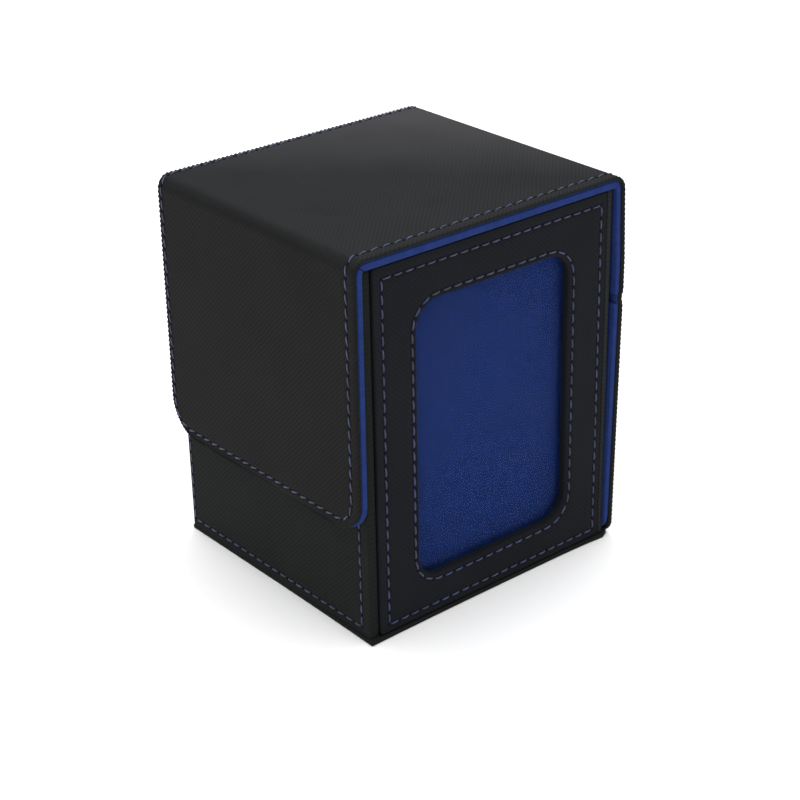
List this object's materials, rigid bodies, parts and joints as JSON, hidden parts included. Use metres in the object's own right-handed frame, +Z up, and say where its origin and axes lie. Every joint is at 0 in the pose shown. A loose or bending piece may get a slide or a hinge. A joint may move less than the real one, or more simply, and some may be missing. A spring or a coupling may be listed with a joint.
{
  "type": "card deck box",
  "caption": "Leather-covered box for a deck of trading cards, with a windowed display pocket on the front and a fold-over lid that closes with a magnetic flap.",
  "frame": {"origin": "middle of the underside of the closed box, on the table", "axes": "+Z up, -Y towards the window side, -X towards the flap side, +X towards the hinge side"},
  "size_m": [0.0878, 0.0794, 0.1032],
  "materials": {
    "leather_black": "black coated leather with a fine diagonal rib, satin",
    "suede_blue": "royal blue microfibre suede",
    "thread_blue": "slate blue sewing thread",
    "greyboard": "raw greyboard",
    "magnet_nickel": "nickel-plated magnet",
    "clear_film": "clear flexible film"
  },
  "bodies": {
    "box": {"base_board": "greyboard", "base_skin": "leather_black", "floor_lining": "suede_blue", "flap_side_board": "greyboard", "flap_side_skin": "leather_black", "flap_side_lining": "suede_blue", "flap_side_thread": "thread_blue", "wall_magnets": "magnet_nickel", "hinge_side_board": "greyboard", "hinge_side_skin": "leather_black", "hinge_side_lining": "suede_blue", "rear_board": "greyboard", "rear_skin": "leather_black", "rear_lining": "suede_blue", "rear_thread": "thread_blue", "window_panel_board": "greyboard", "window_panel_skin": "leather_black", "window_panel_thread": "thread_blue", "window_film": "clear_film", "pocket_spacer": "leather_black", "display_lining": "suede_blue", "display_board": "greyboard", "front_lining": "suede_blue", "lower_back_skin": "leather_black", "lower_back_stiffener": "greyboard", "lower_back_lining": "suede_blue", "lower_back_board": "greyboard", "lower_back_thread": "thread_blue"},
    "upper_back": {"upper_back_skin": "leather_black", "upper_back_stiffener": "greyboard", "upper_back_lining": "suede_blue", "upper_back_board": "greyboard", "upper_back_thread": "thread_blue"},
    "lid_top": {"top_skin": "leather_black", "top_stiffener": "greyboard", "top_lining": "suede_blue", "top_board": "greyboard", "top_thread": "thread_blue"},
    "flap": {"flap_skin": "leather_black", "flap_stiffener": "greyboard", "flap_lining": "suede_blue", "flap_board": "greyboard", "flap_thread": "thread_blue", "flap_magnets": "magnet_nickel"}
  },
  "joints": [
    {"name": "back_crease", "type": "hinge", "parent": "box", "child": "upper_back", "pos_m": [0.043, 0, 0.0693], "axis": [0, 1, 0], "range_deg": [0, 36]},
    {"name": "lid_fold", "type": "hinge", "parent": "upper_back", "child": "lid_top", "pos_m": [0.04255, 0, 0.10175], "axis": [0, 1, 0], "range_deg": [0, 90]},
    {"name": "flap_fold", "type": "hinge", "parent": "lid_top", "child": "flap", "pos_m": [-0.04255, 0, 0.10175], "axis": [0, 1, 0], "range_deg": [0, 90]}
  ],
  "couplings": [
    {"joint": "back_crease", "follows": "lid_fold", "ratio": 0.4}
  ]
}
